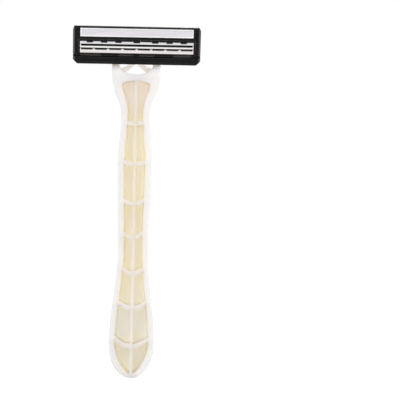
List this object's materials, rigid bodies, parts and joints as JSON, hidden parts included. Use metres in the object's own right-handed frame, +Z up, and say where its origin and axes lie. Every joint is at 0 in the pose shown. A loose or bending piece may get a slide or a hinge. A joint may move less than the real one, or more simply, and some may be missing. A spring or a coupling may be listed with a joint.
{
  "type": "disposable razor",
  "caption": "Disposable razor with a ribbed channel handle, a sprung pivoting head, stacked blades and a lubricating strip.",
  "frame": {"origin": "middle of the flat stretch on the back of the handle's paddle, the grip_back mount", "axes": "+Z up the handle from the butt to the head, +Y out of the handle's back, +X across the head; the blades face -Y"},
  "size_m": [0.0428, 0.0144, 0.1183],
  "materials": {
    "milky_plastic": "milky, slightly translucent, satin",
    "black_plastic": "moulded, semi-gloss",
    "strip_polymer": "waxy, pale",
    "blade_steel": "ground and polished edge",
    "spacer_plastic": "matt"
  },
  "bodies": {
    "handle": {"handle": "milky_plastic", "wishbone_spring": "milky_plastic"},
    "head": {"cartridge_base": "black_plastic", "cover_frame": "black_plastic", "lubricating_strip": "strip_polymer", "blade_upper": "blade_steel", "blade_middle": "blade_steel", "blade_lower": "blade_steel", "spacer_upper": "spacer_plastic", "spacer_lower": "spacer_plastic"},
    "plunger": {"plunger_tip": "milky_plastic"}
  },
  "joints": [
    {"name": "head_pivot", "type": "hinge", "parent": "handle", "child": "head", "pos_m": [0, -0.0052, 0.0981], "axis": [-1, 0, 0], "range_deg": [0, 38], "stiffness_Nm_per_rad": 0.01, "springref_deg": -11.46},
    {"name": "plunger_slide", "type": "slide", "parent": "handle", "child": "plunger", "axis": [0, 0, 1], "range_m": [-0.001, 0], "deforming": ["wishbone_spring"]}
  ],
  "couplings": [
    {"joint": "plunger_slide", "follows": "head_pivot", "m_per_rad": -0.0014986}
  ]
}
